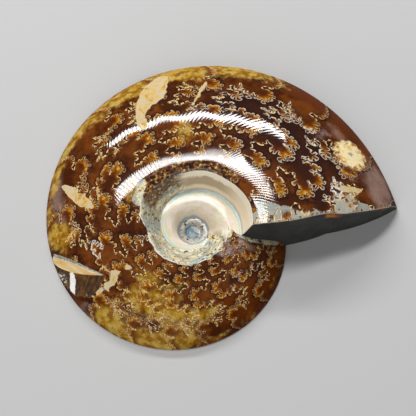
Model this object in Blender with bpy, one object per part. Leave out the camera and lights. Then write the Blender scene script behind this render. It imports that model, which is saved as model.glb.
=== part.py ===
"""One half of a polished ammonite, sawn along its middle and lying on the sawn face.

The shell is a coil about a pole.  An angle, turn, runs back along the coil from the mouth: 0 at the
mouth, one full turn where the mouth meets the whorl before it, three full turns near the centre.
At each turn a section runs inward from the rim over the flank to the umbilical shoulder, and down
the umbilical wall to the seam on the next whorl.  The skin is lofted through these sections, which
all differ.  The mouth is closed by a wall of stone, the centre by a small cap, and the underside by
the flat sawn face at z = 0.  One chip is broken out of the rim.
"""
import math

import bmesh
import bpy
from mathutils import Vector

NAME = "ammonite_half"
FULL_TURN = 2 * math.pi
MM = 0.001

# Driving dimensions, in metres and radians
COIL_RADIUS = 61.85 * MM           # rim to pole at the mouth, before the two bulges below
COIL_TIGHTENING = 0.1279           # log of the shrinkage per radian
SIDE_BULGE = 0.0443                # the rim stands further from the pole on one side
SIDE_BULGE_AT = math.radians(130)
OVAL_BULGE = 0.0164                # and is slightly oval
OVAL_BULGE_AT = math.radians(83)
HALF_THICKNESS = 0.30              # height of the flank's crest, as a share of the rim radius
CREST = 0.38                       # where on the way from pole to rim the crest lies
SHOULDER_DIP = 0.10                # how far the flank falls from crest to shoulder, as a share

SEAM_RADIUS = 13.8 * MM            # seam of the last whorl to pole, at the mouth
SEAM_TIGHTENING = 0.20             # in the last whorl
INNER_TIGHTENING = 0.10            # in the whorls inside it
SEAM_BULGE = 0.20

# The umbilical shoulder has been ground to blunt corners: degrees of turn, distance to the pole in mm
SHOULDER_CORNERS = ((0, 16.6), (16, 16.1), (32, 15.1), (52, 14.2), (78, 14.0), (102, 13.4),
                    (132, 14.1), (160, 15.0), (182, 13.5), (201, 12.0), (221, 12.8), (243, 12.0),
                    (262, 12.2), (289, 10.5), (313, 10.0), (334, 10.3), (360, 9.8))
WALL_HOLLOW = 1.2                  # power that hollows the umbilical wall

MOUTH_DIP = 0.36                   # near the mouth the flank falls further to the shoulder
MOUTH_CREST = 0.13                 # and the crest moves out
MOUTH_REACH = 0.3                  # both fade by this many radians for each power of e
MOUTH_ANGLE = math.radians(-1.5)   # direction of the mouth, from the X axis
LIP_SWING = 0.16                   # the lip swings forward towards its tip
LIP_LEAN = 0.08                    # and the wall under it leans back near the pole
LIP_REACH = 1.0                    # radians of the coil that bend to follow the lip
LEAN_FROM = 33 * MM
LEAN_TO = 43 * MM

# The chip: a wall falls from a straight ledge to a sloping floor.  Places are from the pole
LEDGE_START = Vector((-40.4, -5.9)) * MM
LEDGE_HEADING = math.radians(-28.6)
LEDGE_LENGTH = 20 * MM
CHIP_WALL_SLOPE = 1.43
CHIP_FLOOR_POINT = Vector((-30.0, -15.0, 5.0)) * MM
CHIP_FLOOR_SLOPE = Vector((0.63, 0.21))    # rise along X and along Y
CHIP_WIDTH = 16 * MM
CHIP_SECTIONS = 13
LEAST_VALLEY = 0.05 * MM           # the wall never quite runs out
CLEARANCE = 6 * MM                 # how far the cutter runs past the shell on its other sides
LEDGE_FLARE = 1.5 * MM             # above the ledge its side leans out over the flank

# Fineness of the loft
COLUMNS = 90                       # sections per turn
RIM_ROWS = 12                      # rows from the rim to the seam line of the whorl outside
FLANK_ROWS = 4                     # rows from there to the shoulder
WALL_ROWS = 5                      # rows from the shoulder to the seam
SEAM_ROW = RIM_ROWS + FLANK_ROWS + WALL_ROWS
TURNS = 3


def smooth_step(value):
    """Rise from 0 to 1 with level ends."""
    value = min(max(value, 0.0), 1.0)
    return value * value * (3 - 2 * value)


def rim_radius(turn):
    """Log spiral, drawn out to one side and slightly oval."""
    bulge = (SIDE_BULGE * math.cos(turn - SIDE_BULGE_AT)
             + OVAL_BULGE * math.cos(2 * (turn - OVAL_BULGE_AT)))
    return COIL_RADIUS * math.exp(bulge - COIL_TIGHTENING * turn)


def seam_radius(turn):
    """Seam where a whorl lies on the next one in: a tighter spiral in the last whorl."""
    last = min(turn, FULL_TURN)
    inner = max(turn - FULL_TURN, 0.0)
    power = SEAM_BULGE * math.sin(turn / 2) ** 2 - SEAM_TIGHTENING * last - INNER_TIGHTENING * inner
    return SEAM_RADIUS * math.exp(power)


def shoulder_radius(turn):
    """Cornered line in the last whorl; halfway, by ratio, between its two seams further in."""
    if turn >= FULL_TURN:
        middle = math.sqrt(seam_radius(turn - FULL_TURN) * seam_radius(turn))
        start = math.sqrt(seam_radius(0) * seam_radius(FULL_TURN))
        step = SHOULDER_CORNERS[-1][1] * MM / start - 1
        return middle * (1 + step * math.exp(-2 * (turn - FULL_TURN)))
    degrees = math.degrees(turn)
    for (angle_a, radius_a), (angle_b, radius_b) in zip(SHOULDER_CORNERS, SHOULDER_CORNERS[1:]):
        if degrees <= angle_b:
            share = (degrees - angle_a) / (angle_b - angle_a)
            return (radius_a + (radius_b - radius_a) * share) * MM
    return SHOULDER_CORNERS[-1][1] * MM


def flank_height(radius, turn):
    """Oval arch from the rim up to the crest, then a gentle fall towards the shoulder."""
    rim = rim_radius(turn)
    share = radius / rim
    mouth = math.exp(-turn / MOUTH_REACH)
    crest = CREST + MOUTH_CREST * mouth
    if share >= crest:
        outward = (share - crest) / (1 - crest)
        return HALF_THICKNESS * rim * max(1 - outward ** 2, 0.0) ** 0.6
    inward = (crest - share) / (crest - shoulder_radius(turn) / rim)
    return HALF_THICKNESS * rim * (1 - (SHOULDER_DIP + MOUTH_DIP * mouth) * inward ** 2)


def seam_height(turn):
    """The seam lies on the flank of the next whorl in."""
    return flank_height(seam_radius(turn), turn + FULL_TURN)


def wall_height(share, turn):
    """Umbilical wall, hollow between the shoulder (share 0) and the seam (share 1)."""
    top = flank_height(shoulder_radius(turn), turn)
    foot = seam_height(turn)
    return foot + (top - foot) * (1 - share) ** WALL_HOLLOW


def section_point(row, turn):
    """Distance to the pole and height of one row of the section at a turn."""
    rim, seam, shoulder = rim_radius(turn), seam_radius(turn), shoulder_radius(turn)
    if turn < FULL_TURN:
        outer_seam = rim * SEAM_RADIUS / rim_radius(FULL_TURN)
    else:
        outer_seam = seam_radius(turn - FULL_TURN)
    if row <= RIM_ROWS:
        share = 1 - math.cos(row / RIM_ROWS * math.pi / 2)
        radius = rim + (outer_seam - rim) * share
    elif row <= RIM_ROWS + FLANK_ROWS:
        radius = outer_seam + (shoulder - outer_seam) * (row - RIM_ROWS) / FLANK_ROWS
    else:
        share = (row - RIM_ROWS - FLANK_ROWS) / WALL_ROWS
        return shoulder + (seam - shoulder) * share, wall_height(share, turn)
    return radius, flank_height(radius, turn)


def place(radius, height, turn):
    """Point of the section, with the sections near the mouth bent to follow its lip."""
    near = min(turn, abs(turn - FULL_TURN)) / LIP_REACH
    bend = max(1 - near, 0.0) ** 2
    lean = LIP_LEAN * height / radius
    lean *= 1 - smooth_step((radius - LEAN_FROM) / (LEAN_TO - LEAN_FROM))
    mouth_foot = rim_radius(FULL_TURN)
    beyond = max(radius - mouth_foot, 0.0) / (rim_radius(0) - mouth_foot)
    angle = turn + MOUTH_ANGLE + bend * (lean + LIP_SWING * beyond ** 1.5)
    return Vector((radius * math.cos(angle), radius * math.sin(angle), height))


def loft_skin(mesh):
    """Skin from the rim to the centre, as a grid of vertices; returns a function that finds them."""
    grid = {}
    for column in range(TURNS * COLUMNS + 1):
        turn = FULL_TURN * column / COLUMNS
        first = 0 if column <= COLUMNS else RIM_ROWS + 1
        for row in range(first, SEAM_ROW + 1):
            # the outer edge of an inner whorl is the seam of the whorl around it
            if row == RIM_ROWS and column >= COLUMNS:
                continue
            radius, height = section_point(row, turn)
            grid[row, column] = mesh.verts.new(place(radius, height, turn))

    def vertex(row, column):
        if row == RIM_ROWS and column >= COLUMNS:
            return grid[SEAM_ROW, column - COLUMNS]
        return grid[row, column]

    for column in range(TURNS * COLUMNS):
        first = 0 if column < COLUMNS else RIM_ROWS
        for row in range(first, SEAM_ROW):
            mesh.faces.new((vertex(row, column), vertex(row, column + 1),
                            vertex(row + 1, column + 1), vertex(row + 1, column)))
    return vertex


def close_centre(mesh, vertex):
    """Cap inside the last turn of the seam."""
    last = TURNS * COLUMNS
    loop = [vertex(SEAM_ROW, column) for column in range(last - COLUMNS, last + 1)]
    loop += [vertex(row, last) for row in range(SEAM_ROW - 1, RIM_ROWS, -1)]
    mesh.faces.new(loop)


def close_mouth(mesh, vertex):
    """Stone wall of the mouth; returns the vertices along its foot, tip first."""
    mouth_foot = rim_radius(FULL_TURN)
    foot = [vertex(0, 0)]
    row = 1
    while section_point(row, 0)[0] > mouth_foot:
        radius = section_point(row, 0)[0]
        foot.append(mesh.verts.new(place(radius, 0.0, 0.0)))
        upper = (vertex(row - 1, 0), vertex(row, 0))
        corners = [upper[0], upper[1], foot[-1]]
        if row > 1:
            corners.append(foot[-2])
        mesh.faces.new(corners)
        row += 1
    above = [vertex(upper_row, 0) for upper_row in range(row - 1, SEAM_ROW)]
    below = [vertex(lower_row, COLUMNS) for lower_row in range(RIM_ROWS, -1, -1)]
    mesh.faces.new(above + below + [foot[-1]])
    return foot


def close_underside(mesh, vertex, foot):
    """Flat sawn face."""
    rim = [vertex(0, column) for column in range(COLUMNS + 1)]
    mesh.faces.new(rim + foot[:0:-1])


def shell_body():
    """The whole coil as one closed mesh about its pole."""
    mesh = bmesh.new()
    vertex = loft_skin(mesh)
    close_centre(mesh, vertex)
    close_underside(mesh, vertex, close_mouth(mesh, vertex))
    mesh.normal_update()
    bmesh.ops.triangulate(mesh, faces=[face for face in mesh.faces if len(face.verts) > 4])
    bmesh.ops.recalc_face_normals(mesh, faces=mesh.faces)
    data = bpy.data.meshes.new(NAME)
    mesh.to_mesh(data)
    mesh.free()
    return data


def chip_section(along):
    """Corners of the chip's cutter across the ledge, at a distance along it."""
    ledge = Vector((math.cos(LEDGE_HEADING), math.sin(LEDGE_HEADING)))
    out = Vector((ledge.y, -ledge.x))
    foot = LEDGE_START + ledge * along
    turn = (math.atan2(foot.y, foot.x) - MOUTH_ANGLE) % FULL_TURN
    edge = flank_height(foot.length, turn)
    floor = CHIP_FLOOR_POINT.z + CHIP_FLOOR_SLOPE.dot(foot - CHIP_FLOOR_POINT.xy)
    floor_fall = CHIP_FLOOR_SLOPE.dot(out)
    valley = max((edge - floor) / (CHIP_WALL_SLOPE + floor_fall), LEAST_VALLEY)
    above = COIL_RADIUS * HALF_THICKNESS + CLEARANCE
    corners = ((-LEDGE_FLARE, above),
               (0.0, edge),
               (valley, floor + floor_fall * valley),
               (CHIP_WIDTH, floor + floor_fall * CHIP_WIDTH),
               (CHIP_WIDTH, above))
    return [(foot + out * distance).to_3d() + Vector((0, 0, height)) for distance, height in corners]


def chip_cutter(collection):
    """Loft of the chip's sections, from beyond the rim to the end of the ledge."""
    mesh = bmesh.new()
    span = LEDGE_LENGTH + CLEARANCE
    rings = []
    for step in range(CHIP_SECTIONS + 1):
        corners = chip_section(span * step / CHIP_SECTIONS - CLEARANCE)
        rings.append([mesh.verts.new(corner) for corner in corners])
    for near, far in zip(rings, rings[1:]):
        for index, corner in enumerate(near):
            mesh.faces.new((corner, near[index - 1], far[index - 1], far[index]))
    mesh.faces.new(rings[0])
    mesh.faces.new(rings[-1])
    mesh.normal_update()
    bmesh.ops.triangulate(mesh, faces=mesh.faces)
    bmesh.ops.recalc_face_normals(mesh, faces=mesh.faces)
    data = bpy.data.meshes.new("chip_cutter")
    mesh.to_mesh(data)
    mesh.free()
    cutter = bpy.data.objects.new("chip_cutter", data)
    cutter.hide_render = True
    cutter.display_type = "WIRE"
    collection.objects.link(cutter)
    return cutter


def polished_fossil():
    """Red-brown polished calcite."""
    material = bpy.data.materials.new("polished_fossil")
    material.use_nodes = True
    shader = material.node_tree.nodes["Principled BSDF"]
    shader.inputs["Base Color"].default_value = (0.20, 0.075, 0.025, 1.0)
    shader.inputs["Roughness"].default_value = 0.12
    shader.inputs["Metallic"].default_value = 0.0
    return material


def new_collection(name):
    collection = bpy.data.collections.new(name)
    bpy.context.scene.collection.children.link(collection)
    return collection


def build():
    for item in list(bpy.data.objects):
        bpy.data.objects.remove(item, do_unlink=True)
    parts = new_collection("ammonite_fossil")
    cutters = new_collection("cutters")

    shell = bpy.data.objects.new(NAME, shell_body())
    parts.objects.link(shell)
    shell.data.materials.append(polished_fossil())

    # the origin goes to the middle of the shell's box, on the sawn face
    spots = [corner.co for corner in shell.data.vertices]
    middle = Vector([(min(axis) + max(axis)) / 2 for axis in zip(*spots)])
    cutter = chip_cutter(cutters)
    for item in (shell, cutter):
        item.location = (-middle.x, -middle.y, 0.0)

    notch = shell.modifiers.new("chip", "BOOLEAN")
    notch.operation = "DIFFERENCE"
    notch.object = cutter
    notch.solver = "EXACT"
    shell.data.shade_smooth()
    shell.data.set_sharp_from_angle(angle=math.radians(40))


build()
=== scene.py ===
"""Half of a polished ammonite, lying on its sawn face on a pale table.

The shell is one closed mesh.  Its skin is a grid over the coil: an angle, turn, runs back from the
mouth, and a radius runs inward from the rim to the seam with the next whorl.  The mesh keeps the
turn and the place across the whorl as its UV map; on the stone, the sawn face and the chip the map
is in millimetres.  The share of the rim's radius and the distances to the sutures and to the edges
of the worn patches are attributes.  Lengths are in millimetres until the mesh is put in its box.
"""
import math

import bpy
import numpy as np
from mathutils import Matrix, Vector


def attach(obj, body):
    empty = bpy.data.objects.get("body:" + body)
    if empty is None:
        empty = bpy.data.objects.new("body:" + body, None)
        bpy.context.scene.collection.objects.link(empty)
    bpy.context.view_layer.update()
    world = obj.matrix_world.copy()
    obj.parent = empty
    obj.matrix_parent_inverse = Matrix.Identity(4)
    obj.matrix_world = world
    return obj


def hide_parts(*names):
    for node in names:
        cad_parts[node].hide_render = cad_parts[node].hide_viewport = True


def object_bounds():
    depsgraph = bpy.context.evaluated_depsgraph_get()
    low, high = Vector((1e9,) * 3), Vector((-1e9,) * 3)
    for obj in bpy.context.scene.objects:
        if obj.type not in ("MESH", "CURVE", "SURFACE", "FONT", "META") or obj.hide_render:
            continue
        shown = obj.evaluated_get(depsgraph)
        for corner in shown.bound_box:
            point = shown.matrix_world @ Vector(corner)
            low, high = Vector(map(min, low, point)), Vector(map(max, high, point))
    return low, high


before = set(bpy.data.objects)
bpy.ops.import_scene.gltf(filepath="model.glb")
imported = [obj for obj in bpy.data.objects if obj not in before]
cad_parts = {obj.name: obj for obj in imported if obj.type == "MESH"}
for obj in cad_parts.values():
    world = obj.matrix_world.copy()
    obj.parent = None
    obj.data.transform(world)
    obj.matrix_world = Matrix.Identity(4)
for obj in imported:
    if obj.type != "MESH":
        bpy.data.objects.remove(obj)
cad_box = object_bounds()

FULL_TURN = 2 * math.pi
MM = 0.001

# The coil: log spirals about the pole, in mm and radians.  The flank is a little flatter than the
# solid's, and the lip sags beside the hollow.
COIL_RADIUS = 61.85
COIL_TIGHTENING = 0.1279
SIDE_BULGE, SIDE_BULGE_AT = 0.0443, math.radians(130)
OVAL_BULGE, OVAL_BULGE_AT = 0.0164, math.radians(83)
HALF_THICKNESS = 0.30
CREST = 0.31
SHOULDER_DIP = 0.03
SEAM_RADIUS = 13.8
SEAM_TIGHTENING, INNER_TIGHTENING, SEAM_BULGE = 0.20, 0.10, 0.20
SHOULDER_CORNERS = ((0, 16.6), (16, 16.1), (32, 15.1), (52, 14.2), (78, 14.0), (102, 13.4),
                    (132, 14.1), (160, 15.0), (182, 13.5), (201, 12.0), (221, 12.8), (243, 12.0),
                    (262, 12.2), (289, 10.5), (313, 10.0), (334, 10.3), (360, 9.8))
SHOULDER_ROUNDING = 0.35
WALL_HOLLOW = 1.2
MOUTH_CREST, MOUTH_REACH = 0.12, 0.35
MOUTH_ANGLE = math.radians(-1.5)
LIP_SWING, LIP_LEAN, LIP_REACH = 0.16, 0.08, 1.0
LEAN_FROM, LEAN_TO = 33.0, 43.0
LIP_SAG, SAG_REACH = 3.6, 0.7
SAG_FROM, SAG_TO = 17.0, 38.0      # radii where the sag is whole and where it ends
SAG_START, SAG_RISE = 8.0, 5.0     # radius where it begins, and how far it takes to be whole

# The chip in the rim, as in the solid
LEDGE_START = np.array((-40.4, -5.9))
LEDGE_HEADING = math.radians(-28.6)
LEDGE_LENGTH = 20.0
CHIP_WALL_SLOPE = 1.43
CHIP_FLOOR_POINT = np.array((-30.0, -15.0, 5.0))
CHIP_FLOOR_SLOPE = np.array((0.63, 0.21))
CHIP_WIDTH = 16.0
CHIP_CLEARANCE = 6.0
LEDGE_FLARE = 1.5
LEAST_VALLEY = 0.05
GLINT_ALONG, GLINT_OUT, GLINT_LEAN = 8.8, 3.0, 1.15    # white painted glint and crumbs on the floor
CRUMBS_ALONG, CRUMBS_OUT = 6.3, 6.0

# Fineness of the grid
COLUMNS = 576                      # per turn
RIM_ROWS = 90
FLANK_ROWS = 30
WALL_ROWS = 12
SHOULDER_ROW = RIM_ROWS + FLANK_ROWS
SEAM_ROW = SHOULDER_ROW + WALL_ROWS
ROW_STEP = 3                       # inner whorls keep every third row
INNER_ROWS = (FLANK_ROWS + WALL_ROWS) // ROW_STEP
TURNS = 3
MOUTH_STEPS = 12
LEDGE_STEPS = 104
CHIP_WALL_STEPS = 8
CHIP_FLOOR_STEPS = 40

# One suture from rim to shoulder: degrees back from the tip of its main saddle, share of the radius
SUTURE = (
    # first saddle, by the rim
    (12.0, 1.030), (11.5, .995), (10.1, .977), (8.4, .957), (8.0, .938), (9.2, .927),
    (11.4, .924), (11.6, .912),
    # second saddle, cleft in two
    (9.6, .914), (7.6, .909), (6.2, .893), (5.6, .874), (6.4, .864), (7.6, .860),
    (6.6, .847), (6.5, .835), (7.6, .831), (8.8, .843), (9.7, .834), (10.4, .832),
    (10.6, .850), (11.9, .858), (12.8, .874), (13.1, .855), (12.7, .833), (13.6, .830),
    (14.6, .858), (15.2, .874), (15.3, .856),
    # first lobe, five pointed fingers
    (16.6, .872), (18.2, .903), (19.2, .912), (19.0, .895), (18.2, .874), (19.4, .872),
    (20.6, .889), (22.3, .888), (21.4, .868), (22.2, .853), (20.2, .852), (17.6, .838),
    (15.6, .818), (15.3, .800), (17.2, .797), (19.6, .811), (21.6, .825), (24.1, .821),
    (23.2, .809), (21.9, .798), (23.6, .791), (26.7, .786), (25.2, .775), (23.0, .770),
    (23.9, .754), (22.4, .748), (20.3, .747), (18.2, .760), (16.6, .750), (16.5, .728),
    (17.8, .714), (19.7, .697), (18.8, .689), (17.6, .696), (16.4, .686), (15.6, .700),
    # round teeth
    (14.6, .712), (13.9, .724), (12.6, .737), (11.2, .728), (11.5, .708), (11.9, .690),
    (10.9, .687), (9.9, .703), (8.9, .719), (7.7, .723), (6.9, .712), (5.6, .725),
    (4.6, .712), (3.1, .698), (3.3, .682), (5.4, .662), (7.9, .650), (6.8, .642),
    # main saddle, cleft in two
    (4.4, .648), (2.0, .650), (.4, .634), (-.1, .619), (1.6, .611), (3.0, .608),
    (1.2, .597), (.5, .579), (1.6, .569), (3.2, .572), (4.4, .582), (6.2, .592),
    (6.9, .577), (8.0, .568), (9.4, .577),
    # second lobe
    (11.4, .592), (14.1, .597), (13.3, .578), (14.7, .562), (17.2, .552), (18.9, .538),
    (17.2, .525), (16.0, .506), (13.0, .506), (10.0, .514), (7.6, .505),
    # third saddle and third lobe
    (5.2, .508), (3.2, .495), (3.9, .483), (5.2, .476), (3.8, .466), (3.5, .454),
    (5.2, .447), (7.8, .448), (9.8, .461), (12.6, .462), (16.7, .453), (15.0, .436),
    (12.0, .421), (9.0, .417),
    # small saddles down to the shoulder
    (6.6, .405), (6.0, .393), (8.0, .383), (11.6, .390), (15.6, .393), (13.6, .376),
    (9.6, .366), (7.6, .352), (9.6, .340), (13.6, .346), (12.0, .325), (8.6, .310),
    (10.0, .290), (13.0, .295), (11.0, .270), (9.0, .250), (10.0, .200))
SUTURE_TURNS = (-10.5, 10, 33, 54.5, 74.5, 96, 116.5, 141.5, 164, 189.5, 211, 232, 251, 269, 287,
                307, 329, 350)
SUTURE_SPACING = 19.5              # degrees between sutures as drawn above
SCALLOP, SCALLOP_DEPTH = 0.033, 0.024      # of the rim's radius
LEAD_WINDOW = 50                   # points of a line on either side
LEAD_WEIGHTS = np.hanning(2 * LEAD_WINDOW + 1)
LEAD_WEIGHTS /= LEAD_WEIGHTS.sum()
FAR = 9.0                          # mm, for points with no suture or patch nearby
SUTURE_MARGIN, PATCH_MARGIN = 4, 8         # degrees beyond a line that count as nearby

# Outlines of worn patches on the flank, by corners (degrees, share of the rim's radius)
TAN_PATCHES = (
    ((101, .88), (101.5, .925), (104, .935), (107, .915), (110, .89), (113.5, .84), (117, .76),
     (119.5, .70), (120, .63), (118, .605), (116, .63), (115, .67), (112.5, .715), (108.5, .735),
     (105, .75), (103, .79), (101.5, .83)),
    ((162.8, .90), (164.5, .885), (167.5, .84), (171, .775), (173, .71), (172.6, .665),
     (170.5, .663), (168, .69), (165.5, .745), (163.3, .80), (162.6, .86)),
    ((86, .835), (86.8, .82), (89, .76), (90.6, .70), (92, .66), (91.4, .65), (89.7, .69),
     (87.7, .75), (86.3, .79)),
    ((216.5, .90), (217.5, .89), (218, .86), (219.5, .80), (220.3, .72), (219, .68),
     (217.5, .64), (216.5, .625), (215, .64), (213, .67), (213.3, .685), (216, .71),
     (217, .76), (217.2, .82), (216.6, .86)),
    ((215, .565), (216.3, .60), (217, .62), (218, .60), (219.5, .575), (218, .56)),
    ((8.4, .82), (9.6, .815), (11, .79), (12.2, .75), (12.2, .725), (11, .71), (9.8, .735),
     (8.8, .78)))
STONE_PATCHES = (
    ((-3, .84), (2, .83), (4, .795), (6, .775), (8.5, .76), (9.5, .70), (11, .675), (7, .665),
     (4, .67), (2, .655), (-3, .66)),
    ((-3, .60), (1, .595), (2.2, .56), (4, .50), (6.5, .465), (9, .43), (11, .39), (15, .355),
     (16, .33), (14, .30), (11, .275), (-3, .25)))
BURR_CENTRE, BURR_RADIUS = (24.6, .858), 5.3    # round frilled patch; its radius is in mm

# Soft spots of colour: degrees, share, reach in degrees, reach in share, strength
SPOTS = {
    "gold": (
        (75, .97, 16, .10, 1.0), (95, .93, 16, .10, 1.0), (118, .92, 14, .07, .9),
        (140, .97, 14, .05, .8), (160, .95, 12, .05, .8), (186, .88, 8, .10, .9),
        (180, .97, 8, .05, .6), (98, .50, 7, .09, .7), (103, .69, 6, .04, .6),
        (228, .93, 10, .10, 1.0), (248, .97, 14, .07, .9), (266, .95, 10, .07, .9),
        (243, .68, 16, .10, 1.0), (262, .78, 18, .09, .9), (238, .55, 12, .06, .6),
        (258, .52, 12, .10, .6), (282, .78, 8, .06, .6), (285, .97, 8, .03, .6),
        (300, .98, 10, .04, .4), (330, .95, 12, .04, .4), (158, .43, 7, .035, 1.1)),
    "sienna": (
        (40, .94, 14, .07, 1.0), (58, .93, 10, .08, .8), (70, .80, 10, .06, .5),
        (20, .97, 10, .04, .6), (262, .62, 22, .16, .6), (300, .80, 20, .16, 1.0),
        (330, .88, 20, .10, .8)),
    "dusk": (
        (60, .72, 26, .10, 1.0), (45, .62, 24, .08, .9), (30, .60, 20, .09, .8),
        (5, .62, 7, .05, 1.2), (20, .74, 14, .05, .6), (310, .64, 14, .06, .7),
        (330, .75, 14, .08, .8), (285, .50, 16, .05, .5), (55, .46, 25, .06, .8),
        (200, .36, 18, .04, .8), (80, .62, 20, .06, .6), (130, .62, 14, .05, .5),
        (220, .97, 5, .05, .7), (1, .97, 5, .07, .65)),
    # plum: pinkish brown, partly the shell's own colour, partly painted sheen beside the highlights
    "plum_and_sheen": (
        (8, .92, 12, .06, 1.6), (166, .93, 12, .06, .8), (176, .87, 8, .05, .6),
        (20, .80, 10, .05, .6), (35, .87, 8, .04, .6), (220, .97, 5, .05, 1.0),
        (345, .58, 8, .12, .9), (150, .62, 10, .04, .4)),
    # scuffs: rough patches whose pale streaks are painted sheen
    "scuff_and_sheen": (
        (340, .44, 22, .13, 1.1), (318, .37, 10, .05, .8), (36, .80, 5, .06, .6)),
    "chalk": (
        (197, .69, 6, .05, 1.2), (41, .76, 4, .03, .8), (31, .71, 4, .03, .8),
        (12, .70, 8, .06, .8), (182, .78, 5, .03, .5), (256, .60, 8, .04, .4)),
    "worn": (
        (161, .365, 6, .045, 1.0), (148, .375, 8, .035, 1.0), (352, .38, 12, .05, .9),
        (357, .60, 4.5, .12, 1.3), (358, .80, 4, .12, 1.1))}

# Order of the finishes on the mesh
SHELL, HOLLOW, STONE, SAWN, CHIP_WALL, CHIP_FLOOR = range(6)

# Sawn face and mouth stone
SEPTUM_STEP = 0.34                 # turn between septa
LIVING_CHAMBER = 0.95              # turn at the last septum
WHORL_SHARE = 1 - math.exp(-COIL_TIGHTENING * FULL_TURN)
AMBER_BITS = ((38.5, 3.6, 4.4), (53.0, 1.8, 2.4))    # mm from the pole; depths where a bit ends
PLAIN_MOUTH, MOUTH_LUMPS = 27.0, 0.45      # mm from the pole without lumps, and their depth

# Ripples and growth lines of the flank
DENTS, RIDGES = 0.030, 0.011       # depths in mm
RIDGE_COUNT, RIDGE_SLANT = 164, 240
RIPPLES_END, RIPPLES_FADE = 2.75, 0.25     # turn
RIPPLES_RIM, RIM_FADE, SHOULDER_FADE = 0.85, 0.1, 2.0      # two shares, and mm
STRIAE = 115, 160                  # duller growth lines per turn, near the hollow and outside
STRIAE_SLANT = 50


def smooth_step(value):
    """Rise from 0 to 1 with level ends."""
    value = np.clip(value, 0.0, 1.0)
    return value * value * (3 - 2 * value)


def rim_radius(turn):
    """Log spiral, e^(bulge - tightening * turn), drawn out to one side and slightly oval."""
    bulge = (SIDE_BULGE * np.cos(turn - SIDE_BULGE_AT)
             + OVAL_BULGE * np.cos(2 * (turn - OVAL_BULGE_AT)))
    return COIL_RADIUS * np.exp(bulge - COIL_TIGHTENING * turn)


def seam_radius(turn):
    """Seam on the next whorl in: a tighter spiral in the last whorl."""
    last = np.minimum(turn, FULL_TURN)
    inner = np.maximum(turn - FULL_TURN, 0.0)
    power = SEAM_BULGE * np.sin(turn / 2) ** 2 - SEAM_TIGHTENING * last - INNER_TIGHTENING * inner
    return SEAM_RADIUS * np.exp(power)


def shoulder_radius(turn):
    """Cornered line in the last whorl; halfway, by ratio, between its two seams further in."""
    degrees, radii = zip(*SHOULDER_CORNERS)
    cornered = np.interp(np.degrees(turn), degrees, radii)
    middle = np.sqrt(seam_radius(turn - FULL_TURN) * seam_radius(turn))
    start = math.sqrt(seam_radius(0.0) * seam_radius(FULL_TURN))
    inner = np.maximum(turn - FULL_TURN, 0.0)
    further_in = middle * (1 + (radii[-1] / start - 1) * np.exp(-2 * inner))
    return np.where(turn < FULL_TURN, cornered, further_in)


def flank_height(radius, turn):
    """Oval arch, (1 - x^2)^0.6, from the rim to the crest, then a gentle fall to the shoulder."""
    rim = rim_radius(turn)
    share = radius / rim
    mouth = np.exp(-turn / MOUTH_REACH)
    crest = CREST + MOUTH_CREST * mouth
    outward = np.clip((share - crest) / (1 - crest), 0.0, 1.0)
    inward = np.clip((crest - share) / (crest - shoulder_radius(turn) / rim), 0.0, None)
    arch = (1 - outward ** 2) ** 0.6
    fall = 1 - SHOULDER_DIP * inward ** 2
    return HALF_THICKNESS * rim * np.where(share >= crest, arch, fall)


def surface_height(radius, turn):
    """Flank, and inside the shoulder the hollow wall, which falls as (1 - share)^1.2.

    The corner between them is rounded: the kink |off| becomes a hyperbola.
    """
    shoulder = shoulder_radius(turn)
    seam = seam_radius(turn)
    top = flank_height(shoulder, turn)
    foot = flank_height(seam, turn + FULL_TURN)
    share = np.clip((shoulder - radius) / (shoulder - seam), 0.0, 1.0)
    wall = foot + (top - foot) * (1 - share) ** WALL_HOLLOW
    height = np.where(radius >= shoulder, flank_height(radius, turn), wall)
    slope_change = (top - foot) * WALL_HOLLOW / (shoulder - seam)
    off = radius - shoulder
    window = smooth_step(1 - share) * smooth_step(2 - off / 2)
    rounding = np.minimum(SHOULDER_ROUNDING, (shoulder - seam) * 0.12)
    return height - window * slope_change / 2 * (np.hypot(off, rounding) - np.abs(off))


def place(radius, height, turn):
    """Point of a section: radius and height turned about the pole.

    The sections near the mouth are turned on to follow its lip, more with height and beyond the
    whorl below, and turned back where the lip sags, by (1 - turn / reach)^2 in both.
    """
    near = np.minimum(turn, np.abs(turn - FULL_TURN))
    bend = np.clip(1 - near / LIP_REACH, 0.0, 1.0) ** 2
    lean = LIP_LEAN * height / radius
    lean = lean * (1 - smooth_step((radius - LEAN_FROM) / (LEAN_TO - LEAN_FROM)))
    mouth_foot = rim_radius(FULL_TURN)
    beyond = np.maximum(radius - mouth_foot, 0.0) / (rim_radius(0.0) - mouth_foot)
    outward = np.clip((radius - SAG_FROM) / (SAG_TO - SAG_FROM), 0.0, 1.0)
    sag = LIP_SAG * (1 - outward ** 1.5) / np.maximum(radius, SAG_FROM)
    sag = sag * smooth_step((radius - SAG_START) / SAG_RISE)
    sag = sag * np.clip(1 - near / SAG_REACH, 0.0, 1.0) ** 2
    angle = turn + MOUTH_ANGLE + bend * (lean + LIP_SWING * beyond ** 1.5) - sag
    return np.stack(np.broadcast_arrays(radius * np.cos(angle), radius * np.sin(angle), height), -1)


def column_turns():
    """Turn of each column: columns keep their distance in mm as the whorl narrows."""
    along = np.arange(COLUMNS) / COLUMNS
    shrink = 1 - math.exp(-COIL_TIGHTENING * FULL_TURN)
    first = -np.log(1 - along * shrink) / COIL_TIGHTENING
    return np.concatenate([first + FULL_TURN * whorl for whorl in range(TURNS)]
                          + [[FULL_TURN * TURNS]])


def lumps(x, y, size, seed):
    """Smooth unevenness, mostly between -1 and 1: twice the mean of nine waves of that size."""
    random = np.random.default_rng(seed)
    total = 0.0
    headings = random.uniform(0, FULL_TURN, 9)
    for heading in headings:
        length = size * random.uniform(0.7, 1.4)
        phase = random.uniform(0, FULL_TURN)
        along = x * math.cos(heading) + y * math.sin(heading)
        total = total + np.sin(along * FULL_TURN / length + phase)
    return total * 2 / len(headings)


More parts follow.
